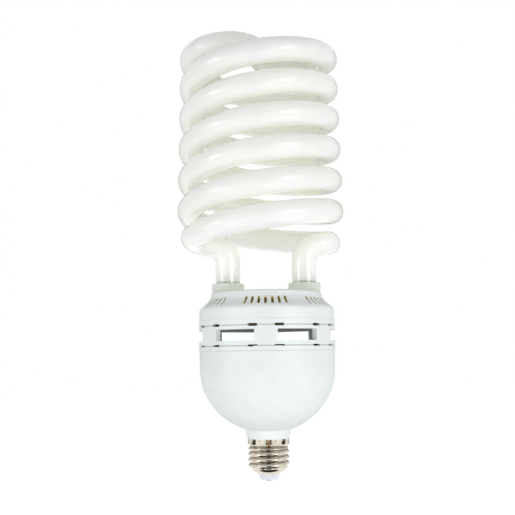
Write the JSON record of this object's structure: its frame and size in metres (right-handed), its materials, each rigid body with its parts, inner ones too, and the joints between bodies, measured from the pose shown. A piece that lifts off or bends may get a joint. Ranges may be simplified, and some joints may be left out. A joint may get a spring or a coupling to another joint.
{
  "type": "spiral energy saving lamp",
  "caption": "White double-spiral fluorescent lamp with an S crown, a vented housing with a see-through cooling gap, a domed ballast cup and an Edison screw cap.",
  "frame": {"origin": "centre of the contact face at the lower end of the screw cap", "axes": "+Z along the cap's axis from the contact towards the spiral; -Y is the front, where a pillar of the cooling gap stands; the tube's legs lie along X"},
  "size_m": [0.1106, 0.1108, 0.2926],
  "materials": {
    "coated_glass": "clear glass over a white phosphor coat, glossy",
    "cement": "matt basing cement",
    "white_plastic": "semi-gloss white moulding",
    "nickel_plate": "rolled sheet, nickel plated",
    "insulator_white": "matt",
    "contact_metal": "tinned",
    "board_paper": "phenolic paper board",
    "black_sleeve": "shrink sleeve",
    "ferrite": "matt ferrite",
    "black_moulding": "matt moulding",
    "copper_wire": "enamelled wire",
    "bare_aluminium": "bare sheet",
    "film_red": "dipped",
    "film_green": "dipped",
    "resistor_tan": "lacquer",
    "lead_sleeve": "wire insulation"
  },
  "bodies": {
    "root": {"spiral_tube": "coated_glass", "tube_cement": "cement", "top_cover": "white_plastic", "spacer_ring": "white_plastic", "ballast_cup": "white_plastic", "cap_shell": "nickel_plate", "cap_insulator": "insulator_white", "centre_contact": "contact_metal", "circuit_board": "board_paper", "bulk_capacitor": "black_sleeve", "choke_core": "ferrite", "choke_bobbin": "black_moulding", "choke_winding": "copper_wire", "filter_inductor": "ferrite", "drive_toroid": "ferrite", "drive_winding": "copper_wire", "heat_sink": "bare_aluminium", "power_transistors": "black_moulding", "resonant_capacitor": "film_red", "film_capacitors": "film_green", "rectifier_diodes": "black_moulding", "resistors": "resistor_tan", "fuse_resistor": "resistor_tan", "thermistor": "resistor_tan", "lead_pins": "contact_metal", "electrode_leads": "lead_sleeve", "live_lead": "lead_sleeve", "neutral_lead": "lead_sleeve"}
  },
  "joints": []
}
